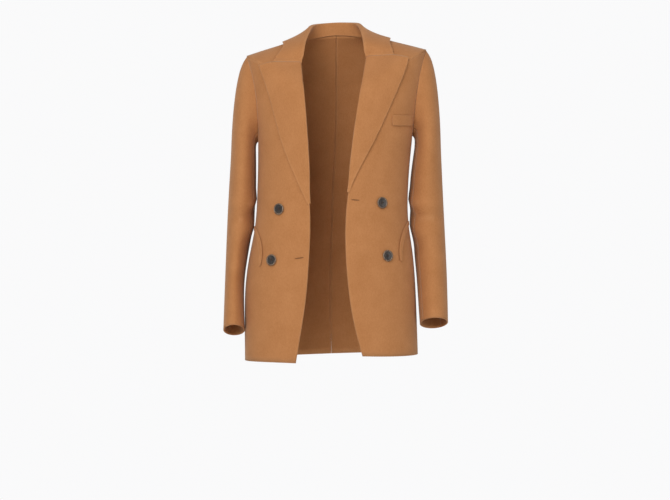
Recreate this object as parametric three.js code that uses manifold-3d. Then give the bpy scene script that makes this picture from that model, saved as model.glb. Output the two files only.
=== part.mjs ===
// A woman's double-breasted coat of jacket length, worn open on a general figure, with peak lapels,
// a turned-down collar, set-in two-piece sleeves, curved hip pockets, a breast welt and four buttons.
// Millimetres. +X is the wearer's left, -Y the front, +Z up. The origin is between the shoulders' neck
// points, where the wearer carries the coat. "left" and "right" are the wearer's.
import * as THREE from "three";
import Module from "manifold-3d";

// ---------------------------------------------------------------- driving dimensions
const clothWall = 2.4; // a felted wool face with its canvas
const seamGap = 0.3; // between pieces that are sewn edge to edge
const lapelWall = 2.6;
const layerGap = 1.5; // air between a layer and the one it lies on
const rollRadius = clothWall / 2 + layerGap + lapelWall; // of the outside of a lapel's roll
const shoulderDrop = 0.035; // the wearer's right shoulder and side hang lower, by this share of x
const armholeStep = 18; // degrees between the points that the armhole and the sleeve share
const armholeFrontWidth = 16; // degrees of the body's ring that the armhole takes forwards
const armholeBackWidth = 17.5; // and backwards
const frontSeamStep = 2; // the armhole point where the front's side seam ends
const backSeamStep = 3; // the armhole point where the back's side seam ends
const armpitRow = 6; // rows of bodySections
const shoulderRow = 8;
const shoulderCorner = 0.6; // how sharply the cloth turns there, from 0 to 1
const neckRow = 11;

// Rings of the body from hem to neck. Up to the armpit they are level. Above it each is a necklace:
// z is its height at the side, zFront and zBack its heights on the centre lines, drop its fall's power.
// centreX and centreY place the ring, half is its half width, front and back its depths from centreY
// and square its roundness (2 is an ellipse).
const bodySections = [
  { z: -706, zFront: -706, zBack: -706, centreX: -11.5, centreY: 0, half: 191.5, front: 144, back: 142, square: 2.5, drop: 2 },
  { z: -620, zFront: -620, zBack: -620, centreX: -13, centreY: 0, half: 190.5, front: 141, back: 143, square: 2.5, drop: 2 },
  { z: -545, zFront: -545, zBack: -545, centreX: -14, centreY: 0, half: 188.5, front: 138, back: 139, square: 2.5, drop: 2 },
  { z: -475, zFront: -475, zBack: -475, centreX: -12.5, centreY: 0, half: 181, front: 133, back: 128, square: 2.45, drop: 2 },
  { z: -405, zFront: -405, zBack: -405, centreX: -10.5, centreY: 0, half: 168.5, front: 128, back: 113, square: 2.4, drop: 2 },
  { z: -325, zFront: -325, zBack: -325, centreX: -8, centreY: 2, half: 167.5, front: 128, back: 106, square: 2.35, drop: 2 },
  { z: -225, zFront: -236, zBack: -228, centreX: -2.5, centreY: 5, half: 171.5, front: 132, back: 112, square: 2.3, drop: 2 },
  { z: -128, zFront: -188, zBack: -166, centreX: 0, centreY: 9, half: 188, front: 131, back: 112, square: 2.15, drop: 1.9 },
  { z: -31, zFront: -150, zBack: -104, centreX: 0, centreY: 14, half: 200, front: 126, back: 101, square: 2, drop: 1.7 },
  { z: -19, zFront: -118, zBack: -58, centreX: 0, centreY: 16, half: 158, front: 109, back: 88, square: 2, drop: 1.7 },
  { z: -6.5, zFront: -90, zBack: -17, centreX: 0, centreY: 18, half: 117, front: 88, back: 74, square: 2, drop: 1.8 },
  { z: 5, zFront: -64, zBack: 13, centreX: 0, centreY: 20, half: 79, front: 64, back: 54, square: 2, drop: 2 },
];

// The open fronts' free edges, as distances from the centre plane at each height. right is on -X.
const frontEdges = [
  { z: 20, right: 73, left: 68 },
  { z: -30, right: 74.5, left: 64 },
  { z: -63, right: 74, left: 59.5 },
  { z: -142, right: 67, left: 47 },
  { z: -207, right: 62.8, left: 37.7 },
  { z: -260, right: 59.3, left: 31 },
  { z: -310, right: 56.8, left: 25.4 },
  { z: -373, right: 56, left: 21.2 },
  { z: -437, right: 57, left: 19 },
  { z: -500, right: 60.4, left: 21 },
  { z: -551, right: 63.8, left: 25.5 },
  { z: -602, right: 69.9, left: 32 },
  { z: -653, right: 78.4, left: 43 },
  { z: -703, right: 88, left: 57 },
];
const hemDip = { right: -8, left: 8 }; // how far each front corner hangs below or above the side hem

// Lapel leaves in the front view: the free edge from the break up to the peak, then the notch.
const lapelEdges = {
  right: {
    breakZ: -368,
    edge: [
      { x: 60.5, z: -371 },
      { x: 78.5, z: -332 },
      { x: 102.5, z: -273 },
      { x: 120.5, z: -222 },
      { x: 145.5, z: -126 },
      { x: 167.5, z: -59.5 },
    ],
    notch: { x: 137.5, z: -55 },
    gorge: { x: 74, z: -57 },
  },
  left: {
    breakZ: -346,
    edge: [
      { x: 26.5, z: -349 },
      { x: 38, z: -318 },
      { x: 62.5, z: -270 },
      { x: 92, z: -214 },
      { x: 138, z: -110 },
      { x: 157.5, z: -56.5 },
    ],
    notch: { x: 123.5, z: -48 },
    gorge: { x: 60, z: -49 },
  },
};

// The collar from the centre back (0) to the gorge (6), one half. fold is the top of its roll and
// leafAngle and leafRow place the leaf's outer edge on the body's rings; the gorge's come from the lapel.
const collarSections = [
  { foldRight: 0, foldLeft: 0, foldY: 84, foldZ: 45, leafAngle: 180, leafRow: 9.9 },
  { foldRight: 30, foldLeft: 28, foldY: 77, foldZ: 43, leafAngle: 157, leafRow: 9.9 },
  { foldRight: 53, foldLeft: 48, foldY: 53, foldZ: 38, leafAngle: 132, leafRow: 9.92 },
  { foldRight: 62, foldLeft: 55, foldY: 16, foldZ: 25, leafAngle: 105, leafRow: 9.98 },
  { foldRight: 70, foldLeft: 61, foldY: -19, foldZ: 5, leafAngle: 84, leafRow: 9.93 },
  { foldRight: 74, foldLeft: 63, foldY: -51, foldZ: -20, leafAngle: 70, leafRow: 9.72 },
];
const footTurnsAt = 4; // the section where the stand's foot leaves the neckline for the free edge

// Rings of a sleeve from cuff to biceps: its outer and inner sides are distances from the centre plane,
// y is the ring's middle and depth its half depth.
const sleeveSections = [
  { z: -638, outerRight: 249.5, outerLeft: 246, innerRight: 201.5, innerLeft: 183, y: -38, depth: 49 },
  { z: -600, outerRight: 248.5, outerLeft: 246, innerRight: 203, innerLeft: 180.5, y: -27, depth: 52 },
  { z: -535, outerRight: 247, outerLeft: 245, innerRight: 204.5, innerLeft: 177, y: -9, depth: 56 },
  { z: -470, outerRight: 245.5, outerLeft: 242.5, innerRight: 195.8, innerLeft: 171, y: 6, depth: 59 },
  { z: -400, outerRight: 243.5, outerLeft: 239.5, innerRight: 182, innerLeft: 161.5, y: 14, depth: 61 },
  { z: -325, outerRight: 239.5, outerLeft: 236, innerRight: 178.5, innerLeft: 162.5, y: 15, depth: 64 },
  { z: -252, outerRight: 235, outerLeft: 232.5, innerRight: 178.5, innerLeft: 172.5, y: 12, depth: 66 },
];
const sleeveSeams = { front: 2, back: 13 }; // armhole points, counted from the armpit by the front

const button = { diameter: 25, thickness: 4.4, rim: 2.2, dish: 1.3, standOff: 0.25, holeCircle: 2.3, hole: 0.95 };
const buttons = [
  { name: "button_upper_right", side: -1, x: 124, z: -377 },
  { name: "button_lower_right", side: -1, x: 140, z: -487 },
  { name: "button_upper_left", side: 1, x: 98, z: -371 },
  { name: "button_lower_left", side: 1, x: 110, z: -486.5 },
];

const breastWelt = { fromX: 121, toX: 165, z: -182, rise: 1, height: 22, wall: 1.3 };
// A curved hip pocket's welt: an arc on the body round a middle, from its lower front end over the top.
// The angles and rows are those of the body's rings.
const hipWelt = {
  middleAngle: 86, middleRow: 2.75, radiusAngle: 26.5, radiusRow: 1.12, radius: 72, width: 10, fromTurn: -5, toTurn: 96, wall: 1.6,
};

const woolColour = 0xc08a55;
const hornColour = 0x2a211c;

// ---------------------------------------------------------------- curves and surfaces
const radians = THREE.MathUtils.degToRad;
const sideName = (side) => (side < 0 ? "right" : "left");

// A smooth curve through the rows of a table, read at a row number that need not be whole. At the row
// named kink it turns by the share corner of a full corner.
function tableAt(rows, key, at, kink = -1, corner = 0) {
  const last = rows.length - 1;
  const place = Math.min(Math.max(at, 0), last);
  const i = Math.min(Math.floor(place), last - 1);
  const s = place - i;
  const value = (n) => rows[Math.min(Math.max(n, 0), last)][key];
  const before = i > 0 ? value(i - 1) : 2 * value(0) - value(1);
  const after = i + 2 <= last ? value(i + 2) : 2 * value(last) - value(last - 1);
  const [p, q] = [value(i), value(i + 1)];
  const { lerp } = THREE.MathUtils;
  const slopeIn = lerp((q - before) / 2, q - p, i === kink ? corner : 0);
  const slopeOut = lerp((after - p) / 2, q - p, i + 1 === kink ? corner : 0);
  const s2 = s * s;
  const s3 = s2 * s;
  return p * (2 * s3 - 3 * s2 + 1) + slopeIn * (s3 - 2 * s2 + s) + q * (3 * s2 - 2 * s3) + slopeOut * (s3 - s2);
}

// The row number at which a table whose key column falls or rises steadily has this value.
function rowWhere(rows, key, wanted) {
  let low = 0;
  let high = rows.length - 1;
  const rising = rows[high][key] > rows[0][key];
  for (let i = 0; i < 40; i += 1) {
    const middle = (low + high) / 2;
    if (tableAt(rows, key, middle) < wanted === rising) low = middle;
    else high = middle;
  }
  return (low + high) / 2;
}

// The worn lean: the wearer's right side hangs a little lower.
const lean = (p) => new THREE.Vector3(p.x, p.y, p.z + shoulderDrop * p.x);

// A point of the body's outside, before the lean. angle is in degrees from the centre front towards
// this side, and row a row number of bodySections.
function bodyPoint(side, angle, row) {
  const turn = radians(angle);
  const [s, c] = [Math.sin(turn), Math.cos(turn)];
  const corner = shoulderCorner * (1 - THREE.MathUtils.smoothstep(Math.abs(c), 0.25, 0.9));
  const at = (key) => tableAt(bodySections, key, row, shoulderRow, corner);
  const depth = c > 0 ? at("front") : at("back");
  const power = at("square");
  const reach = (Math.abs(s / at("half")) ** power + Math.abs(c / depth) ** power) ** (-1 / power);
  const y = at("centreY") - reach * c;
  const across = side * reach * s;
  const fall = (c > 0 ? at("zFront") : at("zBack")) - at("z");
  const dip = c > 0 ? hemDip[sideName(side)] * Math.max(0, 1 - row) ** 2 * c ** 4 : 0;
  return new THREE.Vector3(at("centreX") + across, y, at("z") + fall * Math.abs(c) ** at("drop") + dip);
}

const slopeStep = 0.02;
function bodyNormal(side, angle, row) {
  const high = Math.min(row + slopeStep, neckRow);
  const low = Math.max(row - slopeStep, 0);
  const up = bodyPoint(side, angle, high).sub(bodyPoint(side, angle, low));
  const round = bodyPoint(side, angle + 0.5, row).sub(bodyPoint(side, angle - 0.5, row));
  return round.cross(up).multiplyScalar(side).normalize();
}

// The angle and row of the body's front where it is seen at x (from the centre plane) and z.
function onFront(side, x, z) {
  const miss = (angle, row) => {
    const p = bodyPoint(side, angle, row);
    return { x: p.x * side - x, z: p.z - z };
  };
  let best = { angle: 45, row: 5 };
  for (let row = 0; row <= neckRow; row += 0.5) {
    for (let angle = 0; angle <= 90; angle += 10) {
      const [now, then] = [miss(angle, row), miss(best.angle, best.row)];
      if (Math.hypot(now.x, now.z) < Math.hypot(then.x, then.z)) best = { angle, row };
    }
  }
  let { angle, row } = best;
  for (let i = 0; i < 12; i += 1) {
    const here = miss(angle, row);
    const turned = miss(angle + 0.05, row);
    const raised = miss(angle, row - 0.001);
    const [xa, za] = [(turned.x - here.x) / 0.05, (turned.z - here.z) / 0.05];
    const [xr, zr] = [(here.x - raised.x) / 0.001, (here.z - raised.z) / 0.001];
    const det = xa * zr - xr * za;
    angle -= THREE.MathUtils.clamp((here.x * zr - here.z * xr) / det, -6, 6);
    row -= THREE.MathUtils.clamp((here.z * xa - here.x * za) / det, -0.4, 0.4);
    row = THREE.MathUtils.clamp(row, 0.01, neckRow);
    angle = THREE.MathUtils.clamp(angle, -30, 86);
  }
  return { angle, row };
}

const smooth = (from, to, value) => THREE.MathUtils.smoothstep(value, from, to);

// The angle at which the free front edge crosses a row. Above the lapel's break it is set back, so
// that the roll round it keeps to the edge's line.
function edgeAngle(side, row) {
  const { breakZ } = lapelEdges[sideName(side)];
  let [low, high] = [-40, 89];
  for (let k = 0; k < 30; k += 1) {
    const angle = (low + high) / 2;
    const p = bodyPoint(side, angle, row);
    const setBack = rollRadius * smooth(breakZ - 30, breakZ + 34, p.z);
    const edge = tableAt(frontEdges, sideName(side), rowWhere(frontEdges, "z", p.z)) + setBack;
    if (p.x * side < edge) low = angle;
    else high = angle;
  }
  return (low + high) / 2;
}

// The armhole on the body's rings. turn is in degrees: 0 at the armpit, 90 in front, 180 on the shoulder.
function armhole(turn) {
  const width = Math.sin(radians(turn)) > 0 ? armholeFrontWidth : armholeBackWidth;
  const share = (1 - Math.cos(radians(turn))) / 2;
  return {
    angle: 90 - width * Math.sin(radians(turn)),
    row: armpitRow + (shoulderRow - armpitRow) * share,
  };
}

// ---------------------------------------------------------------- sleeves
function sleeveRing(side, turn, row) {
  const at = (key) => tableAt(sleeveSections, key, row);
  const inner = at(side < 0 ? "innerRight" : "innerLeft");
  const halfWidth = (at(side < 0 ? "outerRight" : "outerLeft") - inner) / 2;
  const ahead = Math.min(row + 0.3, sleeveSections.length - 1);
  const behind = Math.max(row - 0.3, 0);
  const run = tableAt(sleeveSections, "y", ahead) - tableAt(sleeveSections, "y", behind);
  const rise = tableAt(sleeveSections, "z", ahead) - tableAt(sleeveSections, "z", behind);
  const tilt = Math.atan2(run, rise);
  const forward = at("depth") * Math.sin(radians(turn));
  return new THREE.Vector3(
    side * (inner + halfWidth - halfWidth * Math.cos(radians(turn))),
    at("y") - forward * Math.cos(tilt),
    at("z") + forward * Math.sin(tilt),
  );
}

// The sleeve's outside: rows 0 to bicepsRow are the table's rings, and the next whole row the armhole.
const bicepsRow = sleeveSections.length - 1;
function sleevePoint(side, turn, row) {
  if (row <= bicepsRow) return sleeveRing(side, turn, row);
  const s = row - bicepsRow;
  const hole = armhole(turn);
  const start = sleeveRing(side, turn, bicepsRow);
  const end = bodyPoint(side, hole.angle, hole.row);
  const top = (1 - Math.cos(radians(turn))) / 2;
  const length = start.distanceTo(end);
  const leave = new THREE.Vector3(0, 0, length * 0.8);
  const arrive = new THREE.Vector3(-side, 0, 0.25 + 0.15 * top).normalize().multiplyScalar(length * (0.75 - 0.38 * top));
  const s2 = s * s;
  const s3 = s2 * s;
  return start
    .multiplyScalar(2 * s3 - 3 * s2 + 1)
    .addScaledVector(leave, s3 - 2 * s2 + s)
    .addScaledVector(end, 3 * s2 - 2 * s3)
    .addScaledVector(arrive, s3 - s2);
}

function sleeveNormal(side, turn, row) {
  const high = Math.min(row + slopeStep, bicepsRow + 1);
  const low = Math.max(row - slopeStep, 0);
  const up = sleevePoint(side, turn, high).sub(sleevePoint(side, turn, low));
  const round = sleevePoint(side, turn + 1, row).sub(sleevePoint(side, turn - 1, row));
  return round.cross(up).multiplyScalar(side).normalize();
}

// Where body and sleeve meet, both walls run along the mean of their normals, so their edges face.
function armholeNormal(side, turn) {
  const hole = armhole(turn);
  return bodyNormal(side, hole.angle, hole.row).add(sleeveNormal(side, turn, bicepsRow + 1)).normalize();
}

// ---------------------------------------------------------------- closed cloth walls
// Makes a wall of cloth from a grid: outer[i][j] are points of its outside and normal[i][j] point out.
// Edges in seams are drawn in by half the seam gap. The four edges are: first and last row and column.
function clothWallFrom(grid, wall, seams) {
  const rows = grid.length;
  const cols = grid[0].length;
  const outer = grid.map((line) => line.map((cell) => cell.point.clone()));
  const drawIn = (i, j, ni, nj) => {
    const towards = grid[ni][nj].point.clone().sub(grid[i][j].point).normalize();
    outer[i][j].addScaledVector(towards, seamGap / 2);
  };
  for (let j = 0; j < cols; j += 1) {
    if (seams.firstRow) drawIn(0, j, 1, j);
    if (seams.lastRow) drawIn(rows - 1, j, rows - 2, j);
  }
  for (let i = 0; i < rows; i += 1) {
    if (seams.firstColumn) drawIn(i, 0, i, 1);
    if (seams.lastColumn) drawIn(i, cols - 1, i, cols - 2);
  }
  const points = [];
  for (const depth of [0, 1]) {
    for (let i = 0; i < rows; i += 1) {
      for (let j = 0; j < cols; j += 1) {
        const through = depth * (grid[i][j].wall ?? wall);
        points.push(lean(outer[i][j].clone().addScaledVector(grid[i][j].normal, -through)));
      }
    }
  }
  const at = (layer, i, j) => layer * rows * cols + i * cols + j;
  const triangles = [];
  const quad = (a, b, c, d) => triangles.push(a, b, c, a, c, d);
  for (let i = 0; i + 1 < rows; i += 1) {
    for (let j = 0; j + 1 < cols; j += 1) {
      quad(at(0, i, j), at(0, i, j + 1), at(0, i + 1, j + 1), at(0, i + 1, j));
      quad(at(1, i, j), at(1, i + 1, j), at(1, i + 1, j + 1), at(1, i, j + 1));
    }
  }
  for (let j = 0; j + 1 < cols; j += 1) {
    quad(at(0, 0, j + 1), at(0, 0, j), at(1, 0, j), at(1, 0, j + 1));
    quad(at(0, rows - 1, j), at(0, rows - 1, j + 1), at(1, rows - 1, j + 1), at(1, rows - 1, j));
  }
  for (let i = 0; i + 1 < rows; i += 1) {
    quad(at(0, i, 0), at(0, i + 1, 0), at(1, i + 1, 0), at(1, i, 0));
    quad(at(0, i, cols - 1), at(1, i, cols - 1), at(1, i + 1, cols - 1), at(0, i + 1, cols - 1));
  }
  const geometry = new THREE.BufferGeometry();
  geometry.setAttribute("position", new THREE.Float32BufferAttribute(points.flatMap((p) => p.toArray()), 3));
  geometry.setIndex(triangles);
  return geometry;
}

const wool = new THREE.MeshStandardMaterial({ color: woolColour, roughness: 0.95, metalness: 0 });
const horn = new THREE.MeshStandardMaterial({ color: hornColour, roughness: 0.2, metalness: 0 });

function piece(name, geometry, material) {
  geometry.computeVertexNormals();
  const mesh = new THREE.Mesh(geometry, material);
  mesh.name = name;
  return mesh;
}

// Turns a closed mesh the right way out.
function facingOut(geometry) {
  const p = geometry.getAttribute("position");
  const index = geometry.getIndex().array;
  const corner = (n) => new THREE.Vector3().fromBufferAttribute(p, index[n]);
  let volume = 0;
  for (let n = 0; n < index.length; n += 3) volume += corner(n).dot(corner(n + 1).cross(corner(n + 2)));
  if (volume < 0) for (let n = 0; n < index.length; n += 3) [index[n + 1], index[n + 2]] = [index[n + 2], index[n + 1]];
  return geometry;
}

// A cloth piece from a function of column and row counts that gives each cell.
function clothPiece(name, rows, cols, cell, { wall = clothWall, seams = {} } = {}) {
  const grid = [];
  for (let i = 0; i <= rows; i += 1) {
    const line = [];
    for (let j = 0; j <= cols; j += 1) line.push(cell(i, j));
    grid.push(line);
  }
  return piece(name, facingOut(clothWallFrom(grid, wall, seams)), wool);
}

const bodyCell = (side, angle, row) => ({ point: bodyPoint(side, angle, row), normal: bodyNormal(side, angle, row) });

// ---------------------------------------------------------------- body panels
// Rows of a panel: some up to the armhole, the armhole's own points, and some up to the neck.
const rowsBelow = 10; // of every panel's side seam
function panelRows(seamStep, above) {
  const hole = armhole(seamStep * armholeStep);
  const rows = [];
  for (let i = 0; i < rowsBelow; i += 1) rows.push({ row: (hole.row * i) / rowsBelow });
  for (let turn = seamStep * armholeStep; turn <= 180; turn += armholeStep) rows.push({ row: armhole(turn).row, turn });
  for (let i = 1; i <= above; i += 1) rows.push({ row: shoulderRow + ((neckRow - shoulderRow) * i) / above });
  return rows;
}

const frontSeamAngle = armhole(frontSeamStep * armholeStep).angle;
const backSeamAngle = armhole(-backSeamStep * armholeStep).angle;

function front(side) {
  const rows = panelRows(frontSeamStep, 4);
  const cols = 9;
  return clothPiece(
    `front_${sideName(side)}`,
    rows.length - 1,
    cols,
    (i, j) => {
      const { row, turn } = rows[i];
      const free = edgeAngle(side, row);
      let far = row > shoulderRow ? 90 : frontSeamAngle;
      if (turn !== undefined) far = armhole(turn).angle;
      const cell = bodyCell(side, free + ((far - free) * j) / cols, row);
      if (turn !== undefined && j === cols) cell.normal = armholeNormal(side, turn);
      return cell;
    },
    { seams: { lastColumn: true } },
  );
}

function back(side) {
  const rows = panelRows(backSeamStep, 4);
  const cols = 7;
  return clothPiece(
    `back_${sideName(side)}`,
    rows.length - 1,
    cols,
    (i, j) => {
      const { row, turn } = rows[i];
      let near = row > shoulderRow ? 90 : backSeamAngle;
      if (turn !== undefined) near = armhole(-turn).angle;
      const cell = bodyCell(side, near + ((180 - near) * j) / cols, row);
      if (turn !== undefined && j === 0) cell.normal = armholeNormal(side, -turn);
      return cell;
    },
    { seams: { firstColumn: true, lastColumn: true } },
  );
}

function sidePanel(side) {
  const rows = rowsBelow;
  const cols = frontSeamStep + backSeamStep;
  return clothPiece(
    `side_${sideName(side)}`,
    rows,
    cols,
    (i, j) => {
      const turn = (frontSeamStep - j) * armholeStep;
      const top = armhole(turn);
      const even = frontSeamAngle + ((backSeamAngle - frontSeamAngle) * j) / cols;
      const share = i / rows;
      const angle = even + (top.angle - even) * share ** 3;
      const cell = bodyCell(side, angle, top.row * share);
      if (i === rows) cell.normal = armholeNormal(side, turn);
      return cell;
    },
    { seams: { firstColumn: true, lastColumn: true, lastRow: true } },
  );
}

// ---------------------------------------------------------------- sleeves
function sleevePanel(name, side, firstStep, lastStep) {
  const below = 9;
  const cap = 6;
  const cols = lastStep - firstStep;
  return clothPiece(
    `${name}_${sideName(side)}`,
    below + cap,
    cols,
    (i, j) => {
      const turn = (firstStep + j) * armholeStep;
      const row = i <= below ? (bicepsRow * i) / below : bicepsRow + (i - below) / cap;
      const top = i === below + cap;
      return {
        point: sleevePoint(side, turn, row),
        normal: top ? armholeNormal(side, turn) : sleeveNormal(side, turn, row),
      };
    },
    { seams: { firstColumn: true, lastColumn: true, lastRow: true } },
  );
}

// ---------------------------------------------------------------- lapels and collar
const hookTurns = [172, 120, 60, 0]; // round the fronts' edge, from its inside over the roll
const leafColumns = 6; // from the roll to the notch's distance

// A point round the free front edge at a row, on the outside of a layer that turns over it.
function hookPoint(side, row, turn, gap, wall = lapelWall) {
  const angle = edgeAngle(side, row);
  const normal = bodyNormal(side, angle, row);
  const away = bodyPoint(side, angle - 0.5, row).sub(bodyPoint(side, angle + 0.5, row)).normalize();
  away.addScaledVector(normal, -away.dot(normal)).normalize();
  const reach = clothWall / 2 + gap + wall;
  const out = normal.clone().multiplyScalar(Math.cos(radians(turn))).addScaledVector(away, Math.sin(radians(turn)));
  const point = bodyPoint(side, angle, row).addScaledVector(normal, -clothWall / 2).addScaledVector(out, reach);
  return { point, normal: out, wall };
}

const rowAtEdge = (side, z) => {
  let [low, high] = [0, neckRow];
  for (let k = 0; k < 30; k += 1) {
    const row = (low + high) / 2;
    if (bodyPoint(side, edgeAngle(side, row), row).z < z) low = row;
    else high = row;
  }
  return (low + high) / 2;
};

// A point on a layer over the front, seen at x and z, so high over its outside.
function overFront(side, x, z, height) {
  const { angle, row } = onFront(side, x, z);
  const normal = bodyNormal(side, angle, row);
  return { point: bodyPoint(side, angle, row).addScaledVector(normal, height), normal };
}

const thinWall = 1.1; // of a lapel's end at the break
const peakLift = 1.2; // of a lapel's tip off the front
// A lapel's point: up runs from the break (0) to the gorge (1) and column across from the hook.
const peakColumns = 2; // from the notch to the peak's tip
function lapelCell(side, up, column) {
  const shape = lapelEdges[sideName(side)];
  const gap = 0.5 + (layerGap - 0.5) * smooth(0, 0.25, up);
  const wall = thinWall + (lapelWall - thinWall) * smooth(0, 0.2, up);
  const rollZ = shape.breakZ + (shape.gorge.z - shape.breakZ) * up;
  const row = rowAtEdge(side, rollZ);
  if (column < hookTurns.length) return hookPoint(side, row, hookTurns[column], gap, wall);
  const start = bodyPoint(side, edgeAngle(side, row), row);
  const edgeRow = up * (shape.edge.length - 1);
  const edge = { x: tableAt(shape.edge, "x", edgeRow), z: tableAt(shape.edge, "z", edgeRow) };
  const wide = edge.x - start.x * side;
  const notch = (shape.notch.x - shape.gorge.x) / (shape.edge.at(-1).x - shape.gorge.x);
  const across = column - hookTurns.length + 1;
  let share = (across / leafColumns) * notch;
  if (across > leafColumns) share = notch + ((across - leafColumns) / peakColumns) * (1 - notch);
  const line = rollZ + (edge.z - rollZ) * share;
  const straight = shape.gorge.z + (shape.edge.at(-1).z - shape.gorge.z) * notch;
  const dip = (shape.notch.z - straight) * up ** 8 * (share < notch ? share / notch : (1 - share) / (1 - notch));
  const lift = peakLift * smooth(0.7, 1, up) * smooth(notch * 0.8, 1, share);
  return { ...overFront(side, start.x * side + wide * share, line + dip, gap + wall + lift), wall };
}

const lapel = (side) =>
  clothPiece(
    `lapel_${sideName(side)}`,
    14,
    hookTurns.length - 1 + leafColumns + peakColumns,
    (i, j) => lapelCell(side, i / 14, j),
    { wall: lapelWall, seams: { lastRow: true } },
  );

// A collar's point: along runs from the centre back (0) to the gorge (6), column from the stand's foot
// over the roll to the leaf's edge.
const gorgeSection = collarSections.length;
function collarShape(side, along, column) {
  const shape = lapelEdges[sideName(side)];
  const read = (key, atGorge) => tableAt([...collarSections, { [key]: atGorge }], key, along);
  const roll = lapelCell(side, 1, 2).point.lerp(lapelCell(side, 1, 3).point, 0.4);
  const foldX = side * read(side < 0 ? "foldRight" : "foldLeft", roll.x * side);
  const fold = new THREE.Vector3(foldX, read("foldY", roll.y), read("foldZ", roll.z));
  const notch = onFront(side, shape.notch.x, shape.notch.z);
  const leafAngle = read("leafAngle", notch.angle);
  const leafRow = read("leafRow", notch.row);
  const leafNormal = bodyNormal(side, leafAngle, leafRow);
  const leafEdge = bodyPoint(side, leafAngle, leafRow).addScaledVector(leafNormal, layerGap + lapelWall);
  const neckAngle = 180 + (edgeAngle(side, neckRow) - 180) * Math.min(along / footTurnsAt, 1);
  const stand = bodyPoint(side, neckAngle, neckRow).addScaledVector(bodyNormal(side, neckAngle, neckRow), -clothWall);
  stand.z += 1;
  const down = Math.max(along - footTurnsAt, 0) / (gorgeSection - footTurnsAt);
  const edgeRow = neckRow + (rowAtEdge(side, shape.gorge.z) - neckRow) * down;
  stand.lerp(hookPoint(side, edgeRow, hookTurns[0], layerGap).point, smooth(footTurnsAt - 1.2, footTurnsAt + 0.2, along));
  const out = leafEdge.clone().sub(fold).setZ(0).normalize();
  if (column === 0) return stand;
  if (column === 1) return stand.lerp(fold.clone().addScaledVector(out, -1), 0.55);
  if (column === 2) return fold.clone().addScaledVector(out, -3).setZ(fold.z - 3);
  const share = (column - 3) / leafColumns;
  const start = fold.clone().addScaledVector(out, 3.5).setZ(fold.z - 2);
  const bend = start.clone().lerp(leafEdge, 0.5).addScaledVector(out, 2);
  bend.z += 1;
  return start
    .multiplyScalar((1 - share) ** 2)
    .addScaledVector(bend, 2 * share * (1 - share))
    .addScaledVector(leafEdge, share ** 2);
}

// Towards the gorge the collar's shape is brought onto the lapel's top edge.
function collarPoint(side, along, column) {
  const miss = lapelCell(side, 1, column).point.sub(collarShape(side, gorgeSection, column));
  return collarShape(side, along, column).addScaledVector(miss, smooth(3.6, gorgeSection, along));
}

function collar() {
  const half = 13;
  const cols = hookTurns.length - 1 + leafColumns;
  const points = [];
  for (let i = -half; i <= half; i += 1) {
    const line = [];
    const along = gorgeSection * Math.abs(i / half);
    for (let j = 0; j <= cols; j += 1) {
      line.push(i === 0 ? collarPoint(1, 0, j).setX(0) : collarPoint(Math.sign(i), along, j));
    }
    points.push(line);
  }
  const between = (line, n) => line[Math.min(Math.max(n, 0), line.length - 1)];
  return clothPiece(
    "collar",
    2 * half,
    cols,
    (i, j) => {
      if (i === 0 || i === 2 * half) return lapelCell(i === 0 ? -1 : 1, 1, j);
      const along = between(points, i + 1)[j].clone().sub(between(points, i - 1)[j]);
      const across = between(points[i], j + 1).clone().sub(between(points[i], j - 1));
      return { point: points[i][j], normal: across.cross(along).normalize() };
    },
    { wall: lapelWall, seams: { firstRow: true, lastRow: true } },
  );
}

// ---------------------------------------------------------------- pockets' welts
function strip(name, wall, cols, wide, place) {
  return clothPiece(name, wide, cols, (i, j) => place(i / wide, j / cols), { wall });
}

function breastPocketWelt() {
  const { fromX, toX, z, rise, height, wall } = breastWelt;
  return strip("breast_welt", wall, 7, 2, (up, along) =>
    overFront(1, fromX + (toX - fromX) * along, z + rise * along + height * (up - 1), wall + layerGap * 0.4),
  );
}

// A hip welt is drawn on the body's ring by arc length from the side seam's angle and by height.
function hipPocketWelt(side) {
  const { middleAngle, middleRow, radiusAngle, radiusRow, width, fromTurn, toTurn, wall } = hipWelt;
  return strip(`hip_welt_${sideName(side)}`, wall, 14, 2, (out, along) => {
    const turn = radians(fromTurn + (toTurn - fromTurn) * along);
    const taper = width * (0.35 + 0.65 * Math.sin(Math.PI * along) ** 0.7);
    const scale = 1 + (taper * (out - 0.5)) / hipWelt.radius;
    const angle = middleAngle - radiusAngle * scale * Math.cos(turn);
    const row = middleRow + radiusRow * scale * Math.sin(turn);
    const normal = bodyNormal(side, angle, row);
    return { point: bodyPoint(side, angle, row).addScaledVector(normal, wall + layerGap * 0.7), normal };
  });
}

// ---------------------------------------------------------------- buttons
const wasm = await Module();
wasm.setup();

function buttonSolid() {
  const r = button.diameter / 2;
  const t = button.thickness;
  const profile = [
    [0, 0],
    [r * 0.8, 0],
    [r * 0.95, t * 0.3],
    [r, t * 0.62],
    [r * 0.97, t * 0.88],
    [r * 0.9, t],
    [r - button.rim, t * 0.94],
    [r - button.rim - 1.2, t - button.dish * 0.8],
    [r * 0.4, t - button.dish],
    [0, t - button.dish * 1.15],
  ];
  let solid = wasm.Manifold.revolve(new wasm.CrossSection([profile]), 28);
  for (let k = 0; k < 4; k += 1) {
    const turn = radians(45 + 90 * k);
    const drill = wasm.Manifold.cylinder(t * 3, button.hole, button.hole, 8, true);
    solid = solid.subtract(drill.translate([button.holeCircle * Math.cos(turn), button.holeCircle * Math.sin(turn), 0]));
  }
  const mesh = solid.getMesh();
  const geometry = new THREE.BufferGeometry();
  geometry.setAttribute("position", new THREE.BufferAttribute(new Float32Array(mesh.vertProperties), 3));
  geometry.setIndex(new THREE.BufferAttribute(new Uint32Array(mesh.triVerts), 1));
  return geometry;
}

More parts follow.
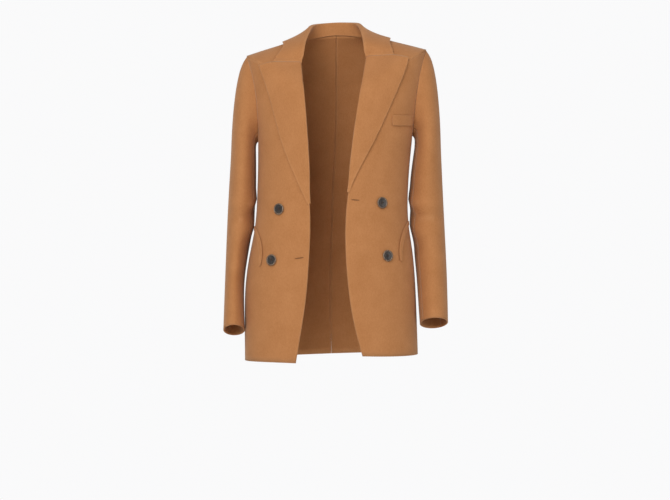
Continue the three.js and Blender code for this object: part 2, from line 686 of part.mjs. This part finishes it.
function placedButton({ name, side, x, z }) {
  const { point, normal } = overFront(side, x, z, button.standOff);
  const turned = new THREE.Quaternion().setFromUnitVectors(new THREE.Vector3(0, 0, 1), normal);
  const geometry = buttonSolid().applyQuaternion(turned);
  const at = lean(point);
  return piece(name, geometry.translate(at.x, at.y, at.z), horn);
}

const coat = new THREE.Group();
const allRound = 360 / armholeStep;
for (const side of [-1, 1]) {
  coat.add(front(side), sidePanel(side), back(side));
  coat.add(sleevePanel("upper_sleeve", side, sleeveSeams.front, sleeveSeams.back));
  coat.add(sleevePanel("under_sleeve", side, sleeveSeams.back, sleeveSeams.front + allRound));
}

coat.add(lapel(-1), lapel(1), collar(), breastPocketWelt(), hipPocketWelt(-1), hipPocketWelt(1));
for (const each of buttons) coat.add(placedButton(each));

export default coat;
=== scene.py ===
# Looks of a worn, open, double-breasted wool coat: nap, pressed edges with a painted highlight along them, buttonholes,
# horn buttons.
import math

import bmesh
import bpy
import numpy as np
from mathutils import Matrix, Vector, kdtree, noise


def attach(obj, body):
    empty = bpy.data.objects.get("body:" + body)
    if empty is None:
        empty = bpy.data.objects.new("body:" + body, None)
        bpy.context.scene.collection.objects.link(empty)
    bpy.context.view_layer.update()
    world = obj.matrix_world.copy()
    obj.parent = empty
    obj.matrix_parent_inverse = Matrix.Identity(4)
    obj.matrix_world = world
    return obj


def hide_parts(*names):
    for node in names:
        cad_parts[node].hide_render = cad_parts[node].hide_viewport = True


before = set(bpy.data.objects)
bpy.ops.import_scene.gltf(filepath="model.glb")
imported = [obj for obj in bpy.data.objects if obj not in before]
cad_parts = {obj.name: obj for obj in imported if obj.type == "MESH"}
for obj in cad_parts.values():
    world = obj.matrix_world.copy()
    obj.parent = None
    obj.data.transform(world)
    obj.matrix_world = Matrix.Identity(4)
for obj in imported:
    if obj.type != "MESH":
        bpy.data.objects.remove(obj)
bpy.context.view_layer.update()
print("frame loaded")

# ---- camera and set
camera = dict(distance=4.5, viewWidth=1.474, aimX=-0.0033, planeY=-0.04, height=-0.470)
camData = bpy.data.cameras.new("camera")
camData.sensor_width = 36
camData.lens = 36 * camera["distance"] / camera["viewWidth"]
camObject = bpy.data.objects.new("camera", camData)
bpy.context.scene.collection.objects.link(camObject)
camObject.location = (camera["aimX"], camera["planeY"] - camera["distance"], camera["height"])
camObject.rotation_euler = (math.pi / 2, 0, 0)
bpy.context.scene.camera = camObject


# ---- small helpers
def nodeGroup(name, inputs, outputs):
    group = bpy.data.node_groups.new(name, "ShaderNodeTree")
    for label, kind, value in inputs:
        socket = group.interface.new_socket(label, in_out="INPUT", socket_type=kind)
        socket.default_value = value
    for label, kind in outputs:
        group.interface.new_socket(label, in_out="OUTPUT", socket_type=kind)
    return group, group.nodes.new("NodeGroupInput"), group.nodes.new("NodeGroupOutput")


def addNode(tree, kind, **settings):
    node = tree.nodes.new(kind)
    for key, value in settings.items():
        if key in node.inputs:
            node.inputs[key].default_value = value
        else:
            setattr(node, key, value)
    return node


def mathNode(tree, operation, first, second=0.5):
    node = tree.nodes.new("ShaderNodeMath")
    node.operation = operation
    for place, value in ((0, first), (1, second)):
        if isinstance(value, (int, float)):
            node.inputs[place].default_value = value
        else:
            tree.links.new(value, node.inputs[place])
    return node.outputs[0]


def newMaterial(name):
    material = bpy.data.materials.new(name)
    material.use_nodes = True
    tree = material.node_tree
    return material, tree, tree.nodes["Principled BSDF"]


# ---- effects that several finishes share
napShape = dict(
    brushed=(1, 1, 0.45), tuftScale=420.0, cloudScale=26.0, twillScale=230.0,
    fineShare=0.55, tuftShare=0.35, twillShare=0.10, heightShade=0.9, shadeFrom=0.42, shadeTo=0.78,
    highlightShare=0.28, polish=0.14,
)


def makeNapGroup():
    # short fibres brushed one way, soft clouding and a fine woven ground under them
    group, inn, out = nodeGroup(
        "feltedNap",
        [
            ("Colour", "NodeSocketColor", (0.5, 0.25, 0.1, 1)),
            ("Deep Colour", "NodeSocketColor", (0.4, 0.18, 0.06, 1)),
            ("Highlight Colour", "NodeSocketColor", (0.6, 0.32, 0.15, 1)),
            ("Fibre Size", "NodeSocketFloat", 0.0006),
            ("Clouding", "NodeSocketFloat", 0.3),
        ],
        [("Colour", "NodeSocketColor"), ("Height", "NodeSocketFloat"), ("Roughness", "NodeSocketFloat")],
    )
    link = group.links.new
    coords = addNode(group, "ShaderNodeTexCoord")
    brushed = addNode(group, "ShaderNodeMapping")
    brushed.inputs["Scale"].default_value = napShape["brushed"]
    link(coords.outputs["Object"], brushed.inputs["Vector"])
    perMetre = mathNode(group, "DIVIDE", 1.0, inn.outputs["Fibre Size"])
    fibres = addNode(group, "ShaderNodeTexNoise", Detail=3.0, Roughness=0.6, Distortion=0.6)
    link(brushed.outputs[0], fibres.inputs["Vector"])
    link(perMetre, fibres.inputs["Scale"])
    tufts = addNode(group, "ShaderNodeTexNoise", Scale=napShape["tuftScale"], Detail=4.0, Roughness=0.6)
    link(brushed.outputs[0], tufts.inputs["Vector"])
    clouds = addNode(group, "ShaderNodeTexNoise", Scale=napShape["cloudScale"], Detail=5.0, Roughness=0.55)
    link(coords.outputs["Object"], clouds.inputs["Vector"])
    twill = addNode(group, "ShaderNodeTexWave", Scale=napShape["twillScale"], Distortion=1.6, Detail=2.0)
    twill.bands_direction = "DIAGONAL"
    link(coords.outputs["Object"], twill.inputs["Vector"])
    fine = mathNode(group, "MULTIPLY", fibres.outputs["Fac"], napShape["fineShare"])
    middle = mathNode(group, "MULTIPLY", tufts.outputs["Fac"], napShape["tuftShare"])
    ground = mathNode(group, "MULTIPLY", twill.outputs["Fac"], napShape["twillShare"])
    height = mathNode(group, "ADD", mathNode(group, "ADD", fine, middle), ground)
    cloudy = mathNode(group, "MULTIPLY", clouds.outputs["Fac"], inn.outputs["Clouding"])
    shade = mathNode(group, "ADD", mathNode(group, "MULTIPLY", height, napShape["heightShade"]), cloudy)
    shadeRange = addNode(group, "ShaderNodeMapRange")
    shadeRange.inputs["From Min"].default_value = napShape["shadeFrom"]
    shadeRange.inputs["From Max"].default_value = napShape["shadeTo"]
    link(shade, shadeRange.inputs["Value"])
    body = addNode(group, "ShaderNodeMix", data_type="RGBA")
    link(shadeRange.outputs[0], body.inputs["Factor"])
    link(inn.outputs["Deep Colour"], body.inputs[6])
    link(inn.outputs["Colour"], body.inputs[7])
    # painted highlight: the cloth is mixed toward the lighter third colour along cut and turned edges
    edge = addNode(group, "ShaderNodeAttribute", attribute_name="edgeHighlight")
    highlighted = addNode(group, "ShaderNodeMix", data_type="RGBA")
    link(mathNode(group, "MULTIPLY", edge.outputs["Fac"], napShape["highlightShare"]), highlighted.inputs["Factor"])
    link(body.outputs[2], highlighted.inputs[6])
    link(inn.outputs["Highlight Colour"], highlighted.inputs[7])
    link(highlighted.outputs[2], out.inputs["Colour"])
    link(height, out.inputs["Height"])
    rough = mathNode(group, "SUBTRACT", 1.0, mathNode(group, "MULTIPLY", height, napShape["polish"]))
    link(rough, out.inputs["Roughness"])
    return group


napGroup = makeNapGroup()


streakShape = dict(stretched=(1, 1, 0.35), scratchScale=2600.0, spreadFrom=0.42, spreadTo=0.66, scratchShare=0.14)


def makeStreakGroup():
    # cloudy bands and fine scratches of polished horn
    group, inn, out = nodeGroup(
        "hornStreaks",
        [
            ("Dark", "NodeSocketColor", (0.01, 0.006, 0.004, 1)),
            ("Light", "NodeSocketColor", (0.08, 0.05, 0.03, 1)),
            ("Band Scale", "NodeSocketFloat", 120.0),
        ],
        [("Colour", "NodeSocketColor"), ("Roughness", "NodeSocketFloat"), ("Height", "NodeSocketFloat")],
    )
    link = group.links.new
    coords = addNode(group, "ShaderNodeTexCoord")
    stretched = addNode(group, "ShaderNodeMapping")
    stretched.inputs["Scale"].default_value = streakShape["stretched"]
    link(coords.outputs["Object"], stretched.inputs["Vector"])
    bands = addNode(group, "ShaderNodeTexNoise", Detail=6.0, Roughness=0.65, Distortion=1.2)
    link(stretched.outputs[0], bands.inputs["Vector"])
    link(inn.outputs["Band Scale"], bands.inputs["Scale"])
    fineScratch = addNode(group, "ShaderNodeTexNoise", Scale=streakShape["scratchScale"], Detail=2.0)
    link(stretched.outputs[0], fineScratch.inputs["Vector"])
    spread = addNode(group, "ShaderNodeMapRange")
    spread.inputs["From Min"].default_value = streakShape["spreadFrom"]
    spread.inputs["From Max"].default_value = streakShape["spreadTo"]
    link(bands.outputs["Fac"], spread.inputs["Value"])
    blendColour = addNode(group, "ShaderNodeMix", data_type="RGBA")
    link(spread.outputs[0], blendColour.inputs["Factor"])
    link(inn.outputs["Dark"], blendColour.inputs[6])
    link(inn.outputs["Light"], blendColour.inputs[7])
    link(blendColour.outputs[2], out.inputs["Colour"])
    scratched = mathNode(group, "MULTIPLY_ADD", fineScratch.outputs["Fac"], streakShape["scratchShare"])
    link(scratched, out.inputs["Roughness"])
    link(fineScratch.outputs["Fac"], out.inputs["Height"])
    return group


streakGroup = makeStreakGroup()


# ---- finishes
def napMaterial(name, colour, deep, edge, fibre=0.0006, clouding=0.3, bump=0.5, sheen=0.22):
    material, tree, shader = newMaterial(name)
    nap = tree.nodes.new("ShaderNodeGroup")
    nap.node_tree = napGroup
    nap.inputs["Colour"].default_value = (*colour, 1)
    nap.inputs["Deep Colour"].default_value = (*deep, 1)
    nap.inputs["Highlight Colour"].default_value = (*edge, 1)
    nap.inputs["Fibre Size"].default_value = fibre
    nap.inputs["Clouding"].default_value = clouding
    bumpNode = addNode(tree, "ShaderNodeBump", Strength=bump, Distance=0.0004)
    tree.links.new(nap.outputs["Colour"], shader.inputs["Base Color"])
    tree.links.new(nap.outputs["Roughness"], shader.inputs["Roughness"])
    tree.links.new(nap.outputs["Height"], bumpNode.inputs["Height"])
    tree.links.new(bumpNode.outputs[0], shader.inputs["Normal"])
    shader.inputs["Sheen Weight"].default_value = sheen
    shader.inputs["Sheen Roughness"].default_value = 0.45
    shader.inputs["Sheen Tint"].default_value = (1, 0.86, 0.7, 1)
    shader.inputs["Specular IOR Level"].default_value = 0.15
    return material


def hornMaterial(name, dark, light, bandScale=120.0):
    material, tree, shader = newMaterial(name)
    streaks = tree.nodes.new("ShaderNodeGroup")
    streaks.node_tree = streakGroup
    streaks.inputs["Dark"].default_value = (*dark, 1)
    streaks.inputs["Light"].default_value = (*light, 1)
    streaks.inputs["Band Scale"].default_value = bandScale
    bumpNode = addNode(tree, "ShaderNodeBump", Strength=0.08, Distance=0.0001)
    tree.links.new(streaks.outputs["Colour"], shader.inputs["Base Color"])
    tree.links.new(streaks.outputs["Roughness"], shader.inputs["Roughness"])
    tree.links.new(streaks.outputs["Height"], bumpNode.inputs["Height"])
    tree.links.new(bumpNode.outputs[0], shader.inputs["Normal"])
    shader.inputs["Coat Weight"].default_value = 0.6
    shader.inputs["Coat Roughness"].default_value = 0.08
    return material


# the third colour is a painted highlight that lightens the cloth along its edges
camelWool = napMaterial("camelWool", (0.52, 0.232, 0.090), (0.39, 0.158, 0.053), (0.60, 0.30, 0.135))
twisted = dict(fibre=0.0002, bump=0.3)
camelThread = napMaterial("camelThread", (0.42, 0.19, 0.07), (0.30, 0.12, 0.04), (0.5, 0.25, 0.1), **twisted)
# dark brown sewing thread for the buttons; the same finish lays the painted shade along the buttonhole slits
darkThreadAndSlitShade = napMaterial("darkThreadAndSlitShade", (0.10, 0.05, 0.03), (0.05, 0.025, 0.015), (0.1, 0.05, 0.03), **twisted)
darkHorn = hornMaterial("darkHorn", (0.006, 0.004, 0.003), (0.055, 0.036, 0.026))
# the rim's lighter brown is partly the horn's own tone and partly a painted highlight on the raised glossy rim
rimHorn = hornMaterial("rimHorn", (0.07, 0.040, 0.024), (0.34, 0.22, 0.13), bandScale=180.0)
print("finishes made")


# ---- cloth pieces, each grown from its solid
def activate(obj):
    bpy.ops.object.select_all(action="DESELECT")
    obj.hide_set(False)
    obj.select_set(True)
    bpy.context.view_layer.objects.active = obj


# seamReach closes the hair of air that the solids leave at a seam
growth = dict(
    weld=0.00001, joinAngle=60, joinShape=70, rimAngle=52, rimCrease=1.0, seamReach=0.0002, levels=2, fineLevels=3,
)


def clothFrom(nodeName, levels):
    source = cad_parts[nodeName]
    obj = bpy.data.objects.new(nodeName + "_cloth", source.data.copy())
    bpy.context.scene.collection.objects.link(obj)
    obj.data.materials.clear()
    obj.data.materials.append(camelWool)
    mesh = bmesh.new()
    mesh.from_mesh(obj.data)
    bmesh.ops.remove_doubles(mesh, verts=mesh.verts, dist=growth["weld"])
    bmesh.ops.join_triangles(
        mesh, faces=mesh.faces, cmp_seam=False,
        angle_face_threshold=math.radians(growth["joinAngle"]), angle_shape_threshold=math.radians(growth["joinShape"]),
    )
    crease = mesh.edges.layers.float.new("crease_edge")
    rim = []
    for edge in mesh.edges:
        if len(edge.link_faces) == 2 and edge.calc_face_angle(0) > math.radians(growth["rimAngle"]):
            edge[crease] = growth["rimCrease"]
            rim.append(edge)
    onRim = {vertex for edge in rim for vertex in edge.verts}
    pushes = {}
    for vertex in onRim:
        inner = [edge.other_vert(vertex).co for edge in vertex.link_edges if edge.other_vert(vertex) not in onRim]
        if inner:
            away = vertex.co - sum(inner, Vector()) / len(inner)
            pushes[vertex] = away.normalized() * growth["seamReach"]
    for vertex, push in pushes.items():
        vertex.co += push
    mesh.to_mesh(obj.data)
    mesh.free()
    obj.data.update()
    activate(obj)
    surface = obj.modifiers.new("round", "SUBSURF")
    surface.levels = surface.render_levels = levels
    bpy.ops.object.modifier_apply(modifier="round")
    bpy.ops.object.shade_smooth()
    return obj


# drape: how the worn cloth breaks, as soft pushes out of the smooth shape
drape = dict(
    ripple=0.0007,
    rippleSize=0.11,
    rippleStretch=1.6,
    bodyMiddle=(-0.008, 0.0),
    armMiddle=(0.213, 0.012),
    elbowZ=-0.47,
    forearmLean=0.27,
    innerShare=0.6,
    frontShare=0.8,
    elbowFolds=[
        dict(z=-0.372, y=-0.045, depth=0.0048, width=0.013, slant=0.30),
        dict(z=-0.402, y=-0.050, depth=-0.0044, width=0.012, slant=0.34),
        dict(z=-0.433, y=-0.050, depth=0.0040, width=0.014, slant=0.26),
        dict(z=-0.470, y=-0.045, depth=-0.0028, width=0.017, slant=0.22),
    ],
)


def outwards(point, sleeveSide):
    if sleeveSide:
        below = min(0.0, point.z - drape["elbowZ"])
        x, y = drape["armMiddle"]
        middle = Vector((sleeveSide * x, y + below * drape["forearmLean"], point.z))
    else:
        middle = Vector((*drape["bodyMiddle"], point.z))
    away = point - middle
    away.z = 0
    return away.normalized()


def addDrape(obj, sleeveSide):
    for vertex in obj.data.vertices:
        point = vertex.co
        away = outwards(point, sleeveSide)
        size = drape["rippleSize"]
        push = drape["ripple"] * noise.noise(Vector((point.x / size, point.y / size, point.z / size / drape["rippleStretch"])))
        if sleeveSide:
            inward = max(0.0, -away.x * sleeveSide * drape["innerShare"] - away.y * drape["frontShare"])
            for fold in drape["elbowFolds"]:
                line = fold["z"] + fold["slant"] * (point.y - fold["y"])
                push += fold["depth"] * inward * math.exp(-(((point.z - line) / fold["width"]) ** 2))
        vertex.co = point + away * push


# reach and fade of the painted highlight band along cut and turned edges
highlightBand = dict(reach=0.0045, weltReach=0.0025, sharpAngle=24, fade=1.3)


def addEdgeHighlight(obj, reach):
    # 1 on a piece's cut or turned edge, 0 past the band beside it; the shader lightens this band as a painted highlight
    mesh = obj.data
    sharp = np.zeros(len(mesh.vertices), dtype=bool)
    normals = [polygon.normal for polygon in mesh.polygons]
    facesOf = {}
    for polygon in mesh.polygons:
        for key in polygon.edge_keys:
            facesOf.setdefault(key, []).append(polygon.index)
    limit = math.cos(math.radians(highlightBand["sharpAngle"]))
    for key, faces in facesOf.items():
        if len(faces) == 2 and normals[faces[0]].dot(normals[faces[1]]) < limit:
            sharp[list(key)] = True
    places = np.nonzero(sharp)[0]
    layer = mesh.attributes.new("edgeHighlight", "FLOAT", "POINT")
    if not len(places):
        return
    tree = kdtree.KDTree(len(places))
    for place in places:
        tree.insert(mesh.vertices[place].co, int(place))
    tree.balance()
    values = [max(0.0, 1.0 - tree.find(vertex.co)[2] / reach) ** highlightBand["fade"] for vertex in mesh.vertices]
    layer.data.foreach_set("value", values)


clothPieces = {}
pieceCuts = {
    # flat width and length in metres, and the cut's own area in square metres
    "front_right": (0.27, 0.72, 0.117),
    "front_left": (0.29, 0.72, 0.127),
    "side_right": (0.10, 0.50, 0.037),
    "side_left": (0.10, 0.50, 0.037),
    "back_right": (0.27, 0.76, 0.148),
    "back_left": (0.27, 0.76, 0.148),
    "upper_sleeve_right": (0.20, 0.64, 0.090),
    "upper_sleeve_left": (0.21, 0.64, 0.093),
    "under_sleeve_right": (0.16, 0.50, 0.060),
    "under_sleeve_left": (0.17, 0.50, 0.063),
    "lapel_right": (0.13, 0.34, 0.0210),
    "lapel_left": (0.13, 0.32, 0.0200),
    "collar": (0.13, 0.60, 0.0460),
    "breast_welt": (0.024, 0.060, 0.0012),
    "hip_welt_right": (0.010, 0.150, 0.0012),
    "hip_welt_left": (0.010, 0.150, 0.0012),
}
for nodeName in pieceCuts:
    small = "welt" in nodeName
    fine = small or "lapel" in nodeName or nodeName == "collar"
    piece = clothFrom(nodeName, growth["fineLevels" if fine else "levels"])
    sleeveSide = 0
    if "sleeve" in nodeName:
        sleeveSide = 1 if nodeName.endswith("left") else -1
    if not small:
        addDrape(piece, sleeveSide)
    addEdgeHighlight(piece, highlightBand["weltReach" if small else "reach"])
    clothPieces[nodeName] = piece
print("cloth pieces grown from their solids")


# ---- buttons
buttonShape = dict(
    radius=0.0125, thickness=0.0044, rim=0.0024, dish=0.0015, holeRing=0.0023, hole=0.00095, segments=72, rimFinishFrom=0.73,
)


def buttonPlace(nodeName):
    # centre of the foot, and the direction out of the cloth, from the solid's own faces
    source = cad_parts[nodeName]
    points = np.array([vertex.co[:] for vertex in source.data.vertices])
    middle = points.mean(axis=0)
    _, _, axes = np.linalg.svd(points - middle)
    out = Vector(axes[2])
    if out.y > 0:
        out = -out
    heights = (points - middle) @ np.array(out)
    foot = Vector(middle) + out * float(heights.min())
    return foot, out


def turned(obj, foot, out):
    spin = Vector((0, 0, 1)).rotation_difference(out).to_matrix().to_4x4()
    obj.data.transform(Matrix.Translation(foot) @ spin)
    obj.data.update()


def makeButton(nodeName):
    shape = buttonShape
    r, t = shape["radius"], shape["thickness"]
    profile = [
        (0.0, 0.0), (r * 0.70, 0.0), (r * 0.82, t * 0.06), (r * 0.93, t * 0.30), (r * 0.99, t * 0.52),
        (r, t * 0.66), (r * 0.985, t * 0.82), (r * 0.94, t * 0.95), (r * 0.885, t), (r * 0.83, t * 0.97), (r - shape["rim"], t * 0.86),
        (r - shape["rim"] - 0.0006, t * 0.70), (r * 0.66, t - shape["dish"]), (r * 0.40, t - shape["dish"] * 1.12),
        (0.0, t - shape["dish"] * 1.2),
    ]
    mesh = bmesh.new()
    line = [mesh.verts.new((x, 0, z)) for x, z in profile]
    edges = [mesh.edges.new(pair) for pair in zip(line, line[1:])]
    turn = dict(cent=(0, 0, 0), axis=(0, 0, 1), angle=math.tau, steps=shape["segments"], use_merge=True)
    bmesh.ops.spin(mesh, geom=line + edges, **turn)
    bmesh.ops.remove_doubles(mesh, verts=mesh.verts, dist=0.000001)
    bmesh.ops.recalc_face_normals(mesh, faces=mesh.faces)
    data = bpy.data.meshes.new(nodeName + "_horn")
    mesh.to_mesh(data)
    mesh.free()
    obj = bpy.data.objects.new(nodeName + "_horn", data)
    bpy.context.scene.collection.objects.link(obj)
    for step in range(4):
        angle = math.radians(45 + 90 * step)
        at = (shape["holeRing"] * math.cos(angle), shape["holeRing"] * math.sin(angle), t / 2)
        bpy.ops.mesh.primitive_cylinder_add(vertices=20, radius=shape["hole"], depth=t * 3, location=at)
        drill = bpy.context.object
        cut = obj.modifiers.new("hole", "BOOLEAN")
        cut.operation, cut.object, cut.solver = "DIFFERENCE", drill, "EXACT"
        activate(obj)
        bpy.ops.object.modifier_apply(modifier="hole")
        bpy.data.objects.remove(drill)
    obj.data.materials.append(darkHorn)
    obj.data.materials.append(rimHorn)
    # faces out past rimFinishFrom take the lighter rim horn: partly its own tone, partly a painted highlight on the
    # raised rim
    for polygon in obj.data.polygons:
        away = math.hypot(polygon.center.x, polygon.center.y)
        polygon.material_index = 1 if away > r * shape["rimFinishFrom"] else 0
    activate(obj)
    bpy.ops.object.shade_smooth_by_angle(angle=math.radians(35))
    foot, out = buttonPlace(nodeName)
    turned(obj, foot, out)
    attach(obj, "root")
    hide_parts(nodeName)
    makeThreads(nodeName, foot, out)
    return obj


def tubeAlong(name, points, radius, material, sides=8, closed=False):
    curve = bpy.data.curves.new(name, "CURVE")
    curve.dimensions = "3D"
    curve.bevel_depth = radius
    curve.bevel_resolution = max(1, sides // 4)
    curve.use_fill_caps = not closed
    spline = curve.splines.new("POLY")
    spline.points.add(len(points) - 1)
    for place, point in zip(spline.points, points):
        place.co = (*point, 1)
    spline.use_cyclic_u = closed
    obj = bpy.data.objects.new(name, curve)
    bpy.context.scene.collection.objects.link(obj)
    activate(obj)
    bpy.ops.object.convert(target="MESH")
    obj = bpy.context.object
    obj.data.materials.clear()
    obj.data.materials.append(material)
    bpy.ops.object.shade_smooth()
    return obj


sewing = dict(radius=0.00023, beside=(-0.00035, 0.0, 0.00035), arch=0.00042, lift=0.00005, dive=0.0016, points=9)


def makeThreads(nodeName, foot, out):
    # four-hole sewing: three strands between each pair of holes, side by side
    shape = buttonShape
    top = shape["thickness"] - shape["dish"] * 1.15
    strands = []
    reach = shape["holeRing"] * math.cos(math.radians(45))
    for row in (-1, 1):
        for beside in sewing["beside"]:
            points = []
            for step in range(sewing["points"]):
                share = step / (sewing["points"] - 1) * 2 - 1
                lift = sewing["arch"] * (1 - share ** 4) + sewing["lift"]
                dive = -sewing["dive"] if abs(share) == 1 else 0
                points.append((share * reach * 1.02, row * reach + beside, top + lift + dive))
            strands.append(tubeAlong(f"{nodeName}_strand", points, sewing["radius"], darkThreadAndSlitShade))
    bpy.ops.object.select_all(action="DESELECT")
    for strand in strands:
        strand.select_set(True)
    bpy.context.view_layer.objects.active = strands[0]
    bpy.ops.object.join()
    thread = bpy.context.object
    thread.name = nodeName + "_thread"
    turned(thread, foot, out)
    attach(thread, "root")


for nodeName in ("button_upper_right", "button_lower_right", "button_upper_left", "button_lower_left"):
    makeButton(nodeName)
print("buttons turned and sewn")


# ---- buttonholes
buttonholes = [
    dict(name="buttonhole_right", on="front_right", x=-0.0805, z=-0.4875, length=0.019, tilt=8),
    dict(name="buttonhole_left", on="front_left", x=0.0405, z=-0.362, length=0.017, tilt=-6),
]
# the slit values lay a dark strip along each hole's cut as painted shade in the opening
holeSewing = dict(
    points=44, halfWidth=0.0010, lift=0.00030, wobble=0.00005, radius=0.00062,
    slitPoints=16, slitShare=0.9, slitLift=0.00008, slitRadius=0.00032,
)


def onCloth(obj, x, z):
    _, place, normal, _ = obj.ray_cast(Vector((x, -0.6, z)), Vector((0, 1, 0)))
    return place, normal


def makeButtonhole(hole):
    cloth = clothPieces[hole["on"]]
    tilt = math.radians(hole["tilt"])
    half = hole["length"] / 2
    ring, mouth = [], []
    for step in range(holeSewing["points"]):
        angle = math.tau * step / holeSewing["points"]
        along = half * math.copysign(abs(math.cos(angle)) ** 0.55, math.cos(angle))
        across = holeSewing["halfWidth"] * math.copysign(abs(math.sin(angle)) ** 0.8, math.sin(angle))
        x = hole["x"] + along * math.cos(tilt) - across * math.sin(tilt)
        z = hole["z"] + along * math.sin(tilt) + across * math.cos(tilt)
        place, normal = onCloth(cloth, x, z)
        wobble = holeSewing["wobble"] * math.sin(step * 2.9)
        ring.append(place + normal * (holeSewing["lift"] + wobble))
    stitches = tubeAlong(hole["name"] + "_stitches", ring, holeSewing["radius"], camelThread, closed=True)
    # painted shade: a dark strip along the cut stands in for the shade inside the slit
    for step in range(holeSewing["slitPoints"]):
        along = half * holeSewing["slitShare"] * (step / (holeSewing["slitPoints"] - 1) * 2 - 1)
        place, normal = onCloth(cloth, hole["x"] + along * math.cos(tilt), hole["z"] + along * math.sin(tilt))
        mouth.append(place + normal * holeSewing["slitLift"])
    slit = tubeAlong(hole["name"] + "_slit", mouth, holeSewing["slitRadius"], darkThreadAndSlitShade)
    for obj in (stitches, slit):
        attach(obj, "root")


for hole in buttonholes:
    makeButtonhole(hole)
print("buttonholes sewn")

# ---- cloth pieces ride, and the solid each was grown from is hidden
for nodeName, piece in clothPieces.items():
    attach(piece, "root")
    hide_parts(nodeName)

# ---- light, floor and backdrop
studio = dict(
    backdrop=(0.955, 0.955, 0.96), floorZ=-1.42, halfWidth=4.5, world=0.46, aim=(0, 0, -0.4),
    key=80.0, keyAt=(-1.1, -3.4, 1.3), keySize=2.4, fill=18.0, fillAt=(2.2, -2.8, 0.2), fillSize=2.6,
)


def makeBackdrop():
    mesh = bmesh.new()
    rows = []
    floor, wide = studio["floorZ"], studio["halfWidth"]
    for y, z in [(-3.0, floor), (1.6, floor), (2.0, floor + 0.06), (2.3, floor + 0.3), (2.45, floor + 0.8), (2.5, 2.6)]:
        rows.append([mesh.verts.new((x, y, z)) for x in (-wide, wide)])
    for low, high in zip(rows, rows[1:]):
        mesh.faces.new((low[0], low[1], high[1], high[0]))
    data = bpy.data.meshes.new("backdrop")
    mesh.to_mesh(data)
    mesh.free()
    obj = bpy.data.objects.new("backdrop", data)
    bpy.context.scene.collection.objects.link(obj)
    activate(obj)
    bpy.ops.object.shade_smooth()
    material, tree, shader = newMaterial("paper")
    shader.inputs["Base Color"].default_value = (0.8, 0.8, 0.8, 1)
    shader.inputs["Roughness"].default_value = 0.95
    glow = addNode(tree, "ShaderNodeEmission", Color=(*studio["backdrop"], 1), Strength=1.0)
    path = tree.nodes.new("ShaderNodeLightPath")
    mix = tree.nodes.new("ShaderNodeMixShader")
    tree.links.new(path.outputs["Is Camera Ray"], mix.inputs[0])
    tree.links.new(shader.outputs[0], mix.inputs[1])
    tree.links.new(glow.outputs[0], mix.inputs[2])
    tree.links.new(mix.outputs[0], tree.nodes["Material Output"].inputs["Surface"])
    data.materials.append(material)


def areaLight(name, place, target, size, power):
    data = bpy.data.lights.new(name, "AREA")
    data.shape, data.size, data.energy = "DISK", size, power
    obj = bpy.data.objects.new(name, data)
    bpy.context.scene.collection.objects.link(obj)
    obj.location = place
    obj.rotation_euler = (Vector(target) - Vector(place)).to_track_quat("-Z", "Y").to_euler()


makeBackdrop()
areaLight("key", studio["keyAt"], studio["aim"], studio["keySize"], studio["key"])
areaLight("fill", studio["fillAt"], studio["aim"], studio["fillSize"], studio["fill"])
world = bpy.data.worlds.new("studio")
bpy.context.scene.world = world
world.use_nodes = True
world.node_tree.nodes["Background"].inputs["Color"].default_value = (1, 1, 1, 1)
world.node_tree.nodes["Background"].inputs["Strength"].default_value = studio["world"]
bpy.context.scene.view_settings.view_transform = "Standard"
print("lights set")
